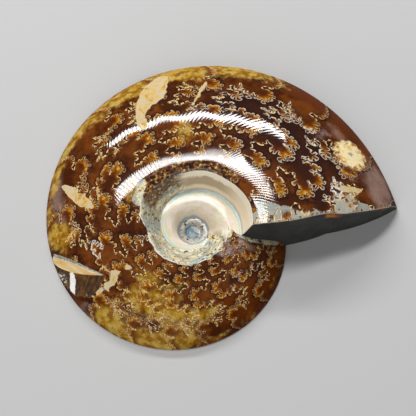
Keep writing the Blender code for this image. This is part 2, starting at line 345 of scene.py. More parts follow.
def cell_corners(grid):
    """The corners of each cell of a grid, in order round the cell."""
    return np.stack([grid[:-1, :-1], grid[:-1, 1:], grid[1:, 1:], grid[1:, :-1]], 2)


class Skin:
    """Collects points and faces; a face has a material and a pair of coordinates per corner."""

    def __init__(self):
        self.points, self.faces, self.kinds, self.corners = [], [], [], []
        self.count = 0

    def add_points(self, points):
        """Adds points; returns their numbers in the same shape."""
        flat = points.reshape(-1, 3)
        numbers = np.arange(self.count, self.count + len(flat)).reshape(points.shape[:-1])
        self.points.append(flat)
        self.count += len(flat)
        return numbers

    def add_grid(self, numbers, uv, kinds):
        """Quads between neighbours of a grid; kinds holds the material of each row of quads."""
        quads = cell_corners(numbers)
        self.faces.extend(quads.reshape(-1, 4).tolist())
        self.corners.append(cell_corners(uv).reshape(-1, 2))
        self.kinds.extend(np.repeat(kinds, quads.shape[1]).tolist())

    def add_face(self, numbers, uv, kind):
        """One face; uv is one pair for each corner, or a pair for all of them."""
        self.faces.append([int(number) for number in numbers])
        self.corners.append(np.broadcast_to(uv, (len(numbers), 2)))
        self.kinds.append(kind)


def outer_grid():
    """Turns and radii of the last whorl: rows from rim to seam, columns back from the mouth.

    Rows keep 1 - cos spacing from the rim, then even spacing on the flank and on the wall.
    """
    turn = column_turns()[None, :COLUMNS + 1]
    rim, seam, shoulder = rim_radius(turn), seam_radius(turn), shoulder_radius(turn)
    buried = rim * SEAM_RADIUS / rim_radius(FULL_TURN)
    down = 1 - np.cos(np.arange(RIM_ROWS)[:, None] / RIM_ROWS * math.pi / 2)
    on = np.arange(FLANK_ROWS)[:, None] / FLANK_ROWS
    under = np.arange(WALL_ROWS + 1)[:, None] / WALL_ROWS
    radius = np.concatenate([rim + (buried - rim) * down,
                             buried + (shoulder - buried) * on,
                             shoulder + (seam - shoulder) * under])
    return np.broadcast_to(turn, radius.shape), radius


def inner_grid():
    """The same for the whorls inside: rows from the seam around them to their own seam."""
    turn = column_turns()[None, COLUMNS:]
    outer, seam, shoulder = seam_radius(turn - FULL_TURN), seam_radius(turn), shoulder_radius(turn)
    flank = FLANK_ROWS // ROW_STEP
    on = np.arange(flank)[:, None] / flank
    under = np.arange(INNER_ROWS - flank + 1)[:, None] / (INNER_ROWS - flank)
    radius = np.concatenate([outer + (shoulder - outer) * on, shoulder + (seam - shoulder) * under])
    return np.broadcast_to(turn, radius.shape), radius


def across(turn, radius, outer):
    """1 at the outer edge of a whorl, 0 at its shoulder, -1 at its seam."""
    shoulder = shoulder_radius(turn)
    flank = (radius - shoulder) / (outer - shoulder)
    wall = (radius - shoulder) / (shoulder - seam_radius(turn))
    return np.where(radius >= shoulder, flank, wall)


def smooth_line(corners, closed=False, pieces=6):
    """Catmull-Rom curve through corners given as (degrees, share)."""
    corners = np.array(corners, float)
    if closed:
        corners = np.concatenate([corners[-1:], corners, corners[:2]])
    else:
        corners = np.concatenate([2 * corners[:1] - corners[1:2], corners,
                                  2 * corners[-1:] - corners[-2:-1]])
    a, b, c, d = (corners[k:len(corners) - 3 + k, None] for k in range(4))
    t = (np.arange(pieces) / pieces)[None, :, None]
    curve = 0.5 * (2 * b + (c - a) * t + (2 * a - 5 * b + 4 * c - d) * t ** 2
                   + (3 * b - a - 3 * c + d) * t ** 3)
    return curve.reshape(-1, 2)


def suture_line(number):
    """The drawn suture at one septum, stretched to the next one, and lower in the young end."""
    start = SUTURE_TURNS[number]
    nearby = np.gradient(np.array(SUTURE_TURNS, float))[number]
    line = smooth_line(SUTURE, pieces=10)
    share = line[:, 1]
    low = 0.1 * (1 - smooth_step((start - 130) / 60))
    lowered = np.where(share < 0.9, share * (1 - low), 1 - (1 - share) * (1 + 9 * low))
    random = np.random.default_rng(number + 5)
    wander = [np.sin(share * pitch + random.uniform(0, FULL_TURN)) for pitch in (9, 14, 23, 41)]
    degrees = start + line[:, 0] * nearby / SUTURE_SPACING
    degrees = degrees + 0.9 * wander[0] + 0.5 * wander[2] - 0.2 * wander[3]
    return np.stack([degrees, lowered + 0.006 * wander[1] + 0.002 * wander[3]], -1)


def on_shell(line):
    """Points on the last whorl under (degrees, share)."""
    turn = np.clip(np.radians(line[:, 0]), 0.0, FULL_TURN)
    radius = np.clip(line[:, 1], 0.15, 0.999) * rim_radius(turn)
    return place(radius, flank_height(radius, turn), turn)


def nearest(points, line_points):
    """Distance from each point to the nearest of a line's points, and that point's number."""
    squares = (np.sum(points ** 2, -1)[:, None] + np.sum(line_points ** 2, -1)[None]
               - 2 * points @ line_points.T)
    number = squares.argmin(1)
    least = squares[np.arange(len(points)), number]
    return np.sqrt(np.maximum(least, 0.0)), number


def crossings(degrees, share, line, closed=False):
    """How often a line passes each point on the side of the higher turn."""
    start, end = (line, np.roll(line, -1, 0)) if closed else (line[:-1], line[1:])
    spans = (start[None, :, 1] <= share[:, None]) != (end[None, :, 1] <= share[:, None])
    rise = end[:, 1] - start[:, 1]
    slope = (end[:, 0] - start[:, 0]) / np.where(np.abs(rise) < 1e-9, 1e-9, rise)
    at = start[None, :, 0] + (share[:, None] - start[None, :, 1]) * slope[None]
    return np.sum(spans & (at > degrees[:, None]), -1)


def blurred(field, reach):
    """Gaussian blur over a grid, reach in cells."""
    offsets = np.arange(-3 * reach, 3 * reach + 1)
    weights = np.exp(-0.5 * (offsets / reach) ** 2)
    weights /= weights.sum()
    for axis in (0, 1):
        pad = [(3 * reach, 3 * reach) if k == axis else (0, 0) for k in (0, 1)]
        padded = np.pad(field, pad, mode="edge")
        size = field.shape[axis]
        field = sum(weight * np.take(padded, range(k, k + size), axis)
                    for k, weight in enumerate(weights))
    return field


def suture_fields(degrees, share, points):
    """Where each point lies among the sutures.

    suture is the distance to the nearest line; its sign changes at every line.  facing is 1 where
    the plus side of that line is the one towards the mouth, else -1.  frill counts the scallops
    along the line.  lead says how far, in mm, the line there is ahead of its own running mean:
    plus at the tips of the lobules, minus in the bays between them.  tuck compares the number of
    sutures passed with its own blur: it is about a half along a straight line and near one inside
    a narrow lobule.
    """
    distance = np.full(degrees.shape, FAR)
    passed = np.zeros(degrees.shape)
    fields = {name: np.zeros(degrees.shape) for name in ("facing", "frill", "lead")}
    for number, start in enumerate(SUTURE_TURNS):
        line = suture_line(number)
        lowest, highest = line[:, 0].min() - SUTURE_MARGIN, line[:, 0].max() + SUTURE_MARGIN
        inside = (degrees > lowest) & (degrees < highest)
        line_points = on_shell(line)
        rim = rim_radius(math.radians(start))
        strides = np.linalg.norm(np.diff(line_points, axis=0, prepend=line_points[:1]), axis=-1)
        scallops = np.cumsum(strides) / (SCALLOP * rim)
        run = np.radians(line[:, 0]) * line[:, 1] * rim
        mean = np.convolve(np.pad(run, LEAD_WINDOW, mode="edge"), LEAD_WEIGHTS, "valid")
        gap, spot = nearest(points[inside], line_points)
        closer = gap < distance[inside]
        distance[inside] = np.where(closer, gap, distance[inside])
        found = {"facing": 1 - 2 * (number % 2), "frill": scallops[spot],
                 "lead": (mean - run)[spot]}
        for name, values in found.items():
            fields[name][inside] = np.where(closer, values, fields[name][inside])
        passed[inside] += 1 - crossings(degrees[inside], share[inside], line) % 2
        passed[degrees >= highest] += 1
    fields["suture"] = (1 - 2 * (passed % 2)) * distance
    fields["tuck"] = np.abs(passed - blurred(passed, 3))
    fields["deep_tuck"] = np.abs(passed - blurred(passed, 7))
    return fields


def patch_field(degrees, share, points, outlines):
    """How far inside the nearest of several outlines a point lies, in mm; negative outside."""
    field = np.full(degrees.shape, -FAR)
    for outline in outlines:
        line = smooth_line(outline, closed=True)
        lowest, highest = line[:, 0].min() - PATCH_MARGIN, line[:, 0].max() + PATCH_MARGIN
        near = (degrees > lowest) & (degrees < highest)
        gap, _ = nearest(points[near], on_shell(line))
        odd = crossings(degrees[near], share[near], line, closed=True) % 2
        field[near] = np.maximum(field[near], np.where(odd, gap, -gap))
    return field


def glow(degrees, share, spots):
    """Sum of soft spots: strength times e to minus the squared distance, in reaches."""
    total = np.zeros(degrees.shape)
    for at, height, wide, high, strength in spots:
        off = ((degrees - at) / wide) ** 2 + ((share - height) / high) ** 2
        total += strength * np.exp(-off)
    return total


def burr_field(points):
    """How far inside the round patch a point lies, in mm.

    Its edge has fourteen round frills, the size of a sine, over five slow waves.
    """
    centre = on_shell(np.array([BURR_CENTRE]))[0]
    off = points - centre
    heading = np.arctan2(off[..., 1], off[..., 0])
    edge = BURR_RADIUS + 0.7 * np.abs(np.sin(7 * heading)) + 0.3 * np.sin(5 * heading + 1) - 0.5
    return edge - np.linalg.norm(off, axis=-1)


def ripples(turn, radius):
    """Shallow dents, and fine ridges: a sine of turn and share, so that its crests lean."""
    share = radius / rim_radius(turn)
    x, y = radius * np.cos(turn), radius * np.sin(turn)
    wave = np.sin(RIDGE_COUNT * turn + RIDGE_SLANT * share + 2 * lumps(x, y, 9.0, 12))
    where = (smooth_step((RIPPLES_END - turn) / RIPPLES_FADE + 1)
             * smooth_step((RIPPLES_RIM - share) / RIM_FADE)
             * smooth_step((radius - shoulder_radius(turn)) / SHOULDER_FADE))
    return where * (DENTS * lumps(x, y, 8.0, 11) + RIDGES * wave)


def add_whorls(skin):
    """Skin of the last whorl and of the whorls inside it, welded along their seams."""
    turn, radius = outer_grid()
    points = place(radius, surface_height(radius, turn) + ripples(turn, radius), turn)
    outer = skin.add_points(points)
    outer[RIM_ROWS, COLUMNS] = outer[SEAM_ROW, 0]
    uv = np.stack([turn / FULL_TURN, across(turn, radius, rim_radius(turn))], -1)
    skin.add_grid(outer, uv, np.where(np.arange(SEAM_ROW) < SHOULDER_ROW, SHELL, HOLLOW))

    in_turn, in_radius = inner_grid()
    inner = skin.add_points(place(in_radius, surface_height(in_radius, in_turn), in_turn))
    inner[:, 0] = outer[RIM_ROWS::ROW_STEP, COLUMNS]
    inner[0, :COLUMNS + 1] = outer[SEAM_ROW]
    inner[0, COLUMNS:] = inner[INNER_ROWS, :COLUMNS + 1]
    edge = seam_radius(in_turn - FULL_TURN)
    in_uv = np.stack([in_turn / FULL_TURN, across(in_turn, in_radius, edge)], -1)
    skin.add_grid(inner[:, 1:], in_uv[:, 1:], np.full(INNER_ROWS, HOLLOW))

    # where the last whorl becomes the second one its rows are thinned out
    join = radius[RIM_ROWS:, COLUMNS]
    join_across = across(np.full(join.shape, FULL_TURN), join, seam_radius(0.0))
    for row in range(INNER_ROWS):
        finer = np.arange(ROW_STEP * (row + 1), ROW_STEP * row - 1, -1)
        numbers = np.concatenate([inner[row:row + 2, 1], outer[RIM_ROWS + finer, COLUMNS]])
        start_uv = np.stack([np.ones(len(finer)), join_across[finer]], -1)
        skin.add_face(numbers, np.concatenate([in_uv[row:row + 2, 1], start_uv]), HOLLOW)
    return turn, radius, points, outer, inner


def add_centre(skin, inner):
    """Fan of triangles over the first chamber, inside the last turn of the seam."""
    loop = np.concatenate([inner[INNER_ROWS, COLUMNS:], inner[INNER_ROWS - 1:0:-1, -1]])
    middle = np.concatenate(skin.points)[loop].mean(0)
    centre = skin.add_points(middle[None])
    for start, end in zip(loop, np.roll(loop, -1)):
        skin.add_face((start, end, centre[0]), (TURNS, -1.0), HOLLOW)


def add_mouth(skin, radius, outer):
    """Stone wall under the mouth's edge, as a grid from the edge to the table.

    It is pushed in by lumps that fade towards its borders.  The strip over the whorl below is a
    band under the lip and one face.  Returns the numbers along the foot, tip first.
    """
    outside = int(np.sum(radius[:, 0] > rim_radius(FULL_TURN)))
    top_radius = radius[:outside, 0]
    top = surface_height(top_radius, np.zeros(outside))
    down = np.linspace(0, 1, MOUTH_STEPS + 1)[:, None]
    height = top * (1 - down)
    reach = np.sin(np.pi * down) * smooth_step(top / 2)
    reach = reach * smooth_step((top_radius - PLAIN_MOUTH) / 2)
    unevenness = (0.5 + 0.5 * lumps(top_radius, height, 5.0, 3)
                  + 0.3 * lumps(top_radius, height, 1.6, 4))
    grid_radius = np.broadcast_to(top_radius, height.shape)
    wall = place(grid_radius, height, np.zeros(height.shape))
    wall[..., 1] += MOUTH_LUMPS * reach * unevenness
    numbers = skin.add_points(wall)
    numbers[0] = outer[:outside, 0]
    numbers[:, 0] = outer[0, 0]
    uv = np.stack([grid_radius, top * down], -1)
    skin.add_grid(numbers[:, 1:], uv[:, 1:], np.full(MOUTH_STEPS, STONE))
    for step in range(MOUTH_STEPS):
        skin.add_face((outer[0, 0], numbers[step, 1], numbers[step + 1, 1]), (0, 0), STONE)

    # over the whorl below: a band under the lip, then one face
    lip = outer[outside - 1:SEAM_ROW + 1, 0]
    lip_radius = radius[outside - 1:SEAM_ROW + 1, 0]
    drop = top[-1] / MOUTH_STEPS * smooth_step((lip_radius - lip_radius[-1]) / 2)
    band = skin.add_points(np.concatenate(skin.points)[lip] - drop[:, None] * (0, 0, 1))
    band[0], band[-1] = numbers[1, -1], lip[-1]
    rows = np.stack([lip, band])
    band_uv = np.stack([rows * 0.0, np.stack([drop * 0, drop])], -1)
    skin.add_grid(rows[:, :-1], band_uv[:, :-1], np.full(1, STONE))
    skin.add_face((lip[-2], lip[-1], band[-2]), (0, 0), STONE)
    strip = np.concatenate([band, outer[RIM_ROWS - 1::-1, COLUMNS], numbers[:1:-1, -1]])
    skin.add_face(strip, (0, top[-1]), STONE)
    return numbers[-1]


def point_fields(turn, radius, points):
    """Everything the materials read from the last whorl's points."""
    rim = rim_radius(turn)
    degrees, share = np.degrees(turn).ravel(), (radius / rim).ravel()
    flat = points.reshape(-1, 3)
    fields = suture_fields(degrees.reshape(turn.shape), share.reshape(turn.shape), points)
    fields = {name: field.ravel() for name, field in fields.items()}
    fields["tan"] = patch_field(degrees, share, flat, TAN_PATCHES)
    fields["stone"] = patch_field(degrees, share, flat, STONE_PATCHES)
    fields["burr"] = burr_field(flat)
    fields["share"] = share
    fields["scallop"] = (rim * SCALLOP_DEPTH + 0 * radius).ravel()
    fields["lip"] = (radius - shoulder_radius(turn)).ravel()
    for name, spots in SPOTS.items():
        fields[name] = glow(degrees, share, spots)
    return fields


def chip_cutter():
    """Solid that leaves the chip: sections across the ledge, each a wall, a floor and a lid.

    A section holds distances out from the ledge and heights.  The wall falls from the flank to the
    valley; the floor is a slope.  Both carry lumps, none at the ledge and the valley.
    """
    ledge = np.array((math.cos(LEDGE_HEADING), math.sin(LEDGE_HEADING)))
    out = np.array((ledge[1], -ledge[0]))
    along = np.linspace(-CHIP_CLEARANCE, LEDGE_LENGTH, LEDGE_STEPS + 1)[:, None]
    foot = LEDGE_START + along * ledge
    reach = np.hypot(foot[:, 0], foot[:, 1])
    turn = (np.arctan2(foot[:, 1], foot[:, 0]) - MOUTH_ANGLE) % FULL_TURN
    edge = flank_height(reach, turn)[:, None]
    floor = CHIP_FLOOR_POINT[2] + ((foot - CHIP_FLOOR_POINT[:2]) @ CHIP_FLOOR_SLOPE)[:, None]
    fall = CHIP_FLOOR_SLOPE @ out
    valley = np.maximum((edge - floor) / (CHIP_WALL_SLOPE + fall), LEAST_VALLEY)
    down = np.linspace(0, 1, CHIP_WALL_STEPS + 1)[None]
    wall_out, wall_height = valley * down, edge + (floor + fall * valley - edge) * down
    rough = 0.16 * smooth_step((valley - 0.1) / 1.5)
    wall_out = wall_out + rough * np.sin(np.pi * down) * lumps(along, wall_height, 2.6, 6)
    beyond = np.linspace(0, 1, CHIP_FLOOR_STEPS + 1)[None, 1:]
    floor_out = valley + (CHIP_WIDTH - valley) * beyond
    rough = 0.22 * lumps(along, floor_out, 4.0, 7) + 0.10 * lumps(along, floor_out, 1.5, 8)
    floor_height = floor + fall * floor_out + rough * smooth_step((floor_out - valley) / 0.8)
    lid = COIL_RADIUS * HALF_THICKNESS + CHIP_CLEARANCE
    lid_out = np.broadcast_to(np.array((CHIP_WIDTH, -LEDGE_FLARE)), (len(along), 2))
    outs = np.concatenate([wall_out, floor_out, lid_out], 1)
    heights = np.concatenate([wall_height, floor_height, np.full(lid_out.shape, lid)], 1)
    plan = foot[:, None] + outs[..., None] * out
    points = np.concatenate([plan, heights[..., None]], -1)

    skin = Skin()
    numbers = skin.add_points(points)
    numbers = np.concatenate([numbers, numbers[:, :1]], 1).T
    uv = np.stack([np.broadcast_to(along, heights.shape), outs], -1)
    uv = np.concatenate([uv, uv[:, :1]], 1).transpose(1, 0, 2)
    kinds = np.full(len(numbers) - 1, CHIP_FLOOR)
    kinds[:CHIP_WALL_STEPS] = CHIP_WALL
    skin.add_grid(numbers, uv, kinds)
    skin.add_face(numbers[:-1, 0], (0, 0), CHIP_FLOOR)
    skin.add_face(numbers[-2::-1, -1], (0, 0), CHIP_FLOOR)
    return skin


def mesh_of(name, skin, move, materials, fields=None):
    """Blender mesh of a skin, without unused points, moved to its place in metres.

    A field that is shorter than the skin goes on with its last value.
    """
    used, faces = np.unique(np.concatenate(skin.faces), return_inverse=True)
    sizes = [len(face) for face in skin.faces]
    faces = [part.tolist() for part in np.split(faces, np.cumsum(sizes)[:-1])]
    mesh = bpy.data.meshes.new(name)
    mesh.from_pydata(move(np.concatenate(skin.points)[used]), [], faces)
    mesh.uv_layers.new(name="coil").data.foreach_set("uv", np.concatenate(skin.corners).ravel())
    for material in materials:
        mesh.materials.append(material)
    mesh.polygons.foreach_set("material_index", skin.kinds)
    for label, field in (fields or {}).items():
        values = np.full(skin.count, field[-1])
        values[:len(field)] = field
        mesh.attributes.new(label, "FLOAT", "POINT").data.foreach_set("value", values[used])
    mesh.update()
    return mesh


def read(source, key, width=1):
    """All numbers of one property of a mesh's vertices or of an attribute's points."""
    values = np.empty(len(source) * width)
    source.foreach_get(key, values)
    return values


def fill_fields(mesh, names):
    """Points that the cut added take their fields from the nearest point that has them."""
    spots = read(mesh.vertices, "co", 3).reshape(-1, 3)
    known = read(mesh.attributes["known"].data, "value")
    fresh, old = np.flatnonzero(known < 0.5), np.flatnonzero(known >= 0.5)
    low, high = spots[fresh].min(0) - MM, spots[fresh].max(0) + MM
    old = old[np.all((spots[old] > low) & (spots[old] < high), 1)]
    gaps = np.sum((spots[fresh][:, None] - spots[old][None]) ** 2, -1)
    source = old[gaps.argmin(1)]
    for name in names:
        data = mesh.attributes[name].data
        values = read(data, "value")
        values[fresh] = values[source]
        data.foreach_set("value", values)


def add_object(name, data):
    """New object in the scene."""
    item = bpy.data.objects.new(name, data)
    bpy.context.scene.collection.objects.link(item)
    return item


def make_shell(materials):
    """The shell with its chip cut out, in the solid's box; returns it and where its pole is."""
    skin = Skin()
    turn, radius, points, outer, inner = add_whorls(skin)
    add_centre(skin, inner)
    foot = add_mouth(skin, radius, outer)
    underside = np.concatenate([outer[0], foot[:0:-1]])[::-1]
    skin.add_face(underside, np.concatenate(skin.points)[underside, :2], SAWN)
    fields = point_fields(turn, radius, points)
    fields["known"] = np.ones(points.size // 3)
    every_point = np.concatenate(skin.points)
    fields["from_pole"] = np.linalg.norm(every_point[:, :2], axis=-1)

    low, high = every_point.min(0), every_point.max(0)
    cad_low, cad_high = (np.array(corner) for corner in cad_box)
    scale = (cad_high - cad_low) / (high - low)
    shift = cad_low - low * scale

    def move(spots):
        return spots * scale + shift

    shell = add_object("ammonite_shell", mesh_of("uncut", skin, move, materials, fields))
    cutter = add_object("chip", mesh_of("chip", chip_cutter(), move, materials))
    cut = shell.modifiers.new("chip", "BOOLEAN")
    cut.operation = "DIFFERENCE"
    cut.solver = "EXACT"
    cut.object = cutter
    view = bpy.context.evaluated_depsgraph_get()
    mesh = bpy.data.meshes.new_from_object(shell.evaluated_get(view))
    mesh.name = "ammonite_shell"
    shell.modifiers.clear()
    shell.data = mesh
    bpy.data.objects.remove(cutter, do_unlink=True)
    fill_fields(mesh, fields)
    mesh.shade_smooth()
    mesh.set_sharp_from_angle(angle=math.radians(38))
    return shell, shift


def operator_pair(operation):
    """An operator and its reflected form, each of which adds a Math node."""
    def forward(self, other):
        return self.finish.maths(operation, self, other)

    def reflected(self, other):
        return self.finish.maths(operation, other, self)

    return forward, reflected


class Value:
    """A socket that takes part in sums and products."""

    def __init__(self, finish, socket):
        self.finish, self.socket = finish, socket

    __add__, __radd__ = operator_pair("ADD")
    __sub__, __rsub__ = operator_pair("SUBTRACT")
    __mul__, __rmul__ = operator_pair("MULTIPLY")


class Finish:
    """A material with one shader, and short ways to make the nodes that colour it."""

    def __init__(self, name):
        self.material = bpy.data.materials.new(name)
        self.material.use_nodes = True
        self.tree = self.material.node_tree
        self.shader = self.tree.nodes["Principled BSDF"]

    def node(self, kind, settings=None, sockets=None, output=0):
        """A node of that kind; its settings come first, then the values or links of its sockets."""
        node = self.tree.nodes.new("ShaderNode" + kind)
        for name, value in (settings or {}).items():
            setattr(node, name, value)
        for key, value in (sockets or {}).items():
            self.join(value, node.inputs[key])
        return Value(self, node.outputs[output])

    def join(self, value, socket):
        """Links a value to a socket, or sets the socket to a number or a colour."""
        if isinstance(value, Value):
            self.tree.links.new(value.socket, socket)
        elif isinstance(value, tuple) and socket.type == "RGBA":
            socket.default_value = value + (1.0,)
        else:
            socket.default_value = value

    def shade(self, **sockets):
        """Sets the shader's sockets; underscores stand for the spaces in their names."""
        for name, value in sockets.items():
            self.join(value, self.shader.inputs[name.replace("_", " ")])

    def maths(self, operation, *values):
        """A Math node on values, numbers or both."""
        return self.node("Math", {"operation": operation}, dict(enumerate(values)))

    def size_of(self, value):
        """The value without its sign."""
        return self.maths("ABSOLUTE", value)

    def largest(self, first, *others):
        """The largest of several values."""
        for other in others:
            first = self.maths("MAXIMUM", first, other)
        return first

    def step(self, value, low, high, start=0.0, end=1.0):
        """Smooth change from start, at low, to end, at high; low may be the larger of the two."""
        if low > high:
            low, high, start, end = high, low, end, start
        settings = {"interpolation_type": "SMOOTHSTEP"}
        return self.node("MapRange", settings, {0: value, 1: low, 2: high, 3: start, 4: end})

    def mix(self, amount, first, second, blend="MIX"):
        """Colour between two, or blended in another way."""
        settings = {"data_type": "RGBA", "blend_type": blend}
        return self.node("Mix", settings, {0: amount, 6: first, 7: second}, output=2)

    def between(self, value, low, high, first, second):
        """Colour that goes from the first to the second as a value goes from low to high."""
        return self.mix(self.step(value, low, high), first, second)

    def layers(self, colour, *layers):
        """Lays tints over a colour, one after the other, each given as (amount, tint)."""
        for amount, tint in layers:
            colour = self.mix(amount, colour, tint)
        return colour

    def field(self, name):
        """A number kept on the mesh."""
        return self.node("Attribute", {"attribute_name": name}, output=2)

    def place(self, scale=(1.0, 1.0, 1.0), source="Object"):
        """Object coordinates, or the mesh's own map, drawn out along the axes."""
        outputs = ["Generated", "Normal", "UV", "Object"]
        spot = self.node("TexCoord", output=outputs.index(source))
        return self.node("VectorMath", {"operation": "MULTIPLY"}, {0: spot, 1: scale})

    def own_place(self):
        """The two coordinates of the mesh's own map."""
        spot = self.place(source="UV")
        return [self.node("SeparateXYZ", None, {0: spot}, output=axis) for axis in (0, 1)]

    def noise(self, size, detail, roughness, distortion=0.0, spot=None):
        """Cloudy noise about 0.5, with features of that size in the units of its coordinates."""
        sockets = {"Vector": spot or self.place(), "Scale": 1 / size, "Detail": detail,
                   "Roughness": roughness, "Distortion": distortion}
        return self.node("TexNoise", None, sockets)

    def bump(self, height, strength, depth):
        """Fine relief; a height of one stands for that depth in metres."""
        return self.node("Bump", None, {"Height": height, "Strength": strength, "Distance": depth})


def polished_shell():
    """Flank: brown calcite with golden and dusky fields, cream sutures, worn patches, painted sheen
    and highlight.
    """
    paint = Finish("polished_shell")
    cloud = paint.noise(7 * MM, 4, 0.6)
    blotch = paint.noise(2.6 * MM, 3, 0.5)
    grain = paint.noise(1.6 * MM, 4, 0.65)
    fleck = paint.noise(0.5 * MM, 2, 0.6)
    speckle = paint.noise(0.25 * MM, 1, 0.5)
    ragged = (grain - 0.5) * 1.6 + (fleck - 0.5) * 0.5

    # Ground colours; the plum spots are the shell's pinkish brown in places and painted sheen in
    # others
    sienna = paint.step(paint.field("sienna") + (grain - 0.5) * 0.4, 0.25, 1.0)
    plum_and_sheen = paint.step(paint.field("plum_and_sheen") + (cloud - 0.5) * 0.8, 0.25, 0.95)
    gold = paint.step(paint.field("gold") + (cloud - 0.5) * 1.5 + (grain - 0.5), 0.32, 0.80)
    dusk = paint.step(paint.field("dusk") + (cloud - 0.5) * 1.6 + (grain - 0.5) * 0.5, 0.2, 1.0)
    stone = paint.step(paint.field("stone") + ragged * 1.3 + (blotch - 0.5) * 2.0, -0.2, 0.2)
    honey = paint.between(blotch, 0.36, 0.60, (0.26, 0.105, 0.004), (0.50, 0.285, 0.026))
    honey_fleck = paint.step(grain + (blotch - 0.5) * 0.6, 0.46, 0.68)
    honey = paint.mix(honey_fleck * 0.8, honey, (0.56, 0.41, 0.12))
    colour = paint.between(cloud, 0.38, 0.64, (0.058, 0.014, 0.004), (0.18, 0.048, 0.007))
    colour = paint.layers(
        colour,
        (sienna * 0.9, (0.12, 0.025, 0.002)),
        (plum_and_sheen * (0.30 + cloud * 0.5 + blotch * 0.5), (0.34, 0.215, 0.17)),
        (gold * 0.95, honey),
        (dusk * 0.9, (0.03, 0.01, 0.007)),
        (stone, rock_colour(paint, cloud, fleck)))

    # Sutures, scalloped: round digits towards the mouth, dark at the stem and golden at the tip
    facing = paint.field("facing")
    scallop = paint.field("scallop")
    turns = paint.field("frill") + (blotch - 0.5) * 1.4 + (grain - 0.5) * 0.5
    wave = paint.step(paint.size_of(paint.maths("SINE", turns * math.pi)), 0.0, 1.0)
    length = paint.step(paint.field("lead"), -0.8, 1.0, 0.25, 1.35)
    length = length * paint.step(cloud, 0.35, 0.65, 0.8, 1.1)
    shifted = paint.field("suture") - facing * (wave - 0.6) * length * scallop
    slope = wave * (1 - wave) * length * 14.0
    steepness = paint.maths("SQRT", 1 + slope * slope)
    gap = paint.maths("DIVIDE", paint.size_of(shifted), steepness * scallop * 0.7)
    within = paint.step(shifted * facing, 0.05, -0.05)
    deep = paint.field("deep_tuck") + (grain - 0.5) * 0.3 + gold * 0.08
    halo = paint.step(gap, 1.2, 0.1) * (1 - within) * (1 - gold * 0.5) * (1 - stone)
    shadow = paint.mix(gold, (0.022, 0.007, 0.005), (0.085, 0.022, 0.003))
    stem = within * paint.step(deep, 0.28, 0.48) * paint.step(gap, 5.5, 2.8)
    amber = within * paint.step(deep, 0.36, 0.60) * paint.step(gap, 1.9, 0.3)
    tip = within * paint.step(wave, 0.1, 0.9, 0.15, 1.0) * paint.step(gap, 1.0, 0.1)
    tip = tip * paint.step(deep, 0.42, 0.66)
    colour = paint.layers(
        colour,
        (halo * 0.85, shadow),
        (stem * 0.9, (0.07, 0.016, 0.004)),
        (amber * 0.9, (0.29, 0.07, 0.003)),
        (tip * 0.95, (0.72, 0.38, 0.035)))
    colour = paint.mix(1.0, colour, 0.60 + fleck * 0.60 + speckle * 0.20, "MULTIPLY")
    chalk = paint.step(paint.field("chalk"), 0.2, 0.8)
    bright = paint.largest(paint.step(wave, 0.2, 0.9), paint.step(paint.field("tuck"), 0.5, 0.7))
    bright = bright * paint.step(deep, 0.35, 0.60, 0.35, 1.0)
    cream = paint.mix(bright, (0.30, 0.17, 0.07), (0.90, 0.70, 0.38))
    cream = paint.mix(paint.largest(dusk * 0.6, chalk), cream, (0.86, 0.83, 0.76))
    line = paint.step(gap - bright * 0.02 - chalk * 0.12, 0.17, 0.03)
    colour = paint.mix(line * (0.62 + bright * 0.36), colour, cream)

    # Round the hollow: dark and golden crackle above, then worn ground edged with a white painted
    # highlight
    coil, _ = paint.own_place()
    lip = paint.field("lip")
    frayed = lip + (blotch - 0.5) * 2.4 + ragged * 0.3
    above = paint.step(coil, 0.11, 0.16) * paint.step(coil, 0.48, 0.44)
    crackle = above * paint.step(lip + (grain - 0.5) * 4.0, 4.6, 2.6)
    beside = paint.step(coil, 0.43, 0.46) * paint.step(coil, 0.92, 0.87)
    worn = paint.step(frayed, 0.55, 0.35) * beside
    worn = paint.largest(worn, paint.step(paint.field("worn") + ragged * 0.25, 0.40, 0.55))
    # white painted highlight: the glint on the shoulder's edge, drawn along the worn ground's
    # border
    painted_edge_highlight = paint.step(paint.size_of(frayed - 0.55), 0.24, 0.04) * beside
    painted_edge_highlight = painted_edge_highlight * paint.step(cloud, 0.40, 0.48)

    # Patches without polish: tan strips, the frilled burr by the lip, and scuffs with pale streaks
    # of painted sheen
    tan = paint.field("tan") + ragged * 0.9 + (blotch - 0.5) * 1.8
    tan_in = paint.step(tan, -0.1, 0.1)
    burr = paint.field("burr") + ragged * 0.6
    burr_in = paint.step(burr, -0.35, 0.45)
    scuff_and_sheen = paint.step(paint.field("scuff_and_sheen") + (grain - 0.5) * 0.8, 0.25, 0.8)
    # pale grey-lilac streaks in the scuffs: painted sheen of a soft highlight
    scratches_and_sheen = scuff_and_sheen * paint.step(blotch + (fleck - 0.5) * 0.6, 0.42, 0.66)
    colour = paint.layers(
        colour,
        (crackle * 0.85, crackle_colour(paint)),
        (worn, worn_ground(paint)),
        (painted_edge_highlight * 0.9, (0.90, 0.88, 0.82)),
        (tan_in, tan_colour(paint, tan, grain)),
        (burr_in, burr_colour(paint, burr, grain, fleck)),
        (scratches_and_sheen * 0.6, (0.36, 0.30, 0.31)))

    # Polish: faint by the rim and where it is worn, crossed by duller growth lines
    rough = paint.largest(tan_in, burr_in, scuff_and_sheen, stone * 0.6, worn, painted_edge_highlight)
    share = paint.field("share")
    lean = share * STRIAE_SLANT + (blotch - 0.5) * 5
    inner, outer = (paint.maths("SINE", coil * (count * FULL_TURN) + lean) for count in STRIAE)
    hatch = inner + (outer - inner) * paint.step(share, 0.52, 0.58)
    hatch = paint.step(hatch, 0.1, 0.9) * paint.step(coil, 0.24, 0.30)
    gloss = paint.step(share, 0.88, 0.68, 0.12, 1.0) * (1 - hatch * 0.45) * (1 - rough * 0.85)
    paint.shade(Base_Color=colour, Roughness=0.3 + rough * 0.2, Specular_IOR_Level=0.0,
                Coat_Weight=gloss, Coat_Roughness=0.05, Coat_IOR=1.5,
                Normal=paint.bump(grain + fleck * 0.5, 0.3, 0.05 * MM))
    return paint.material


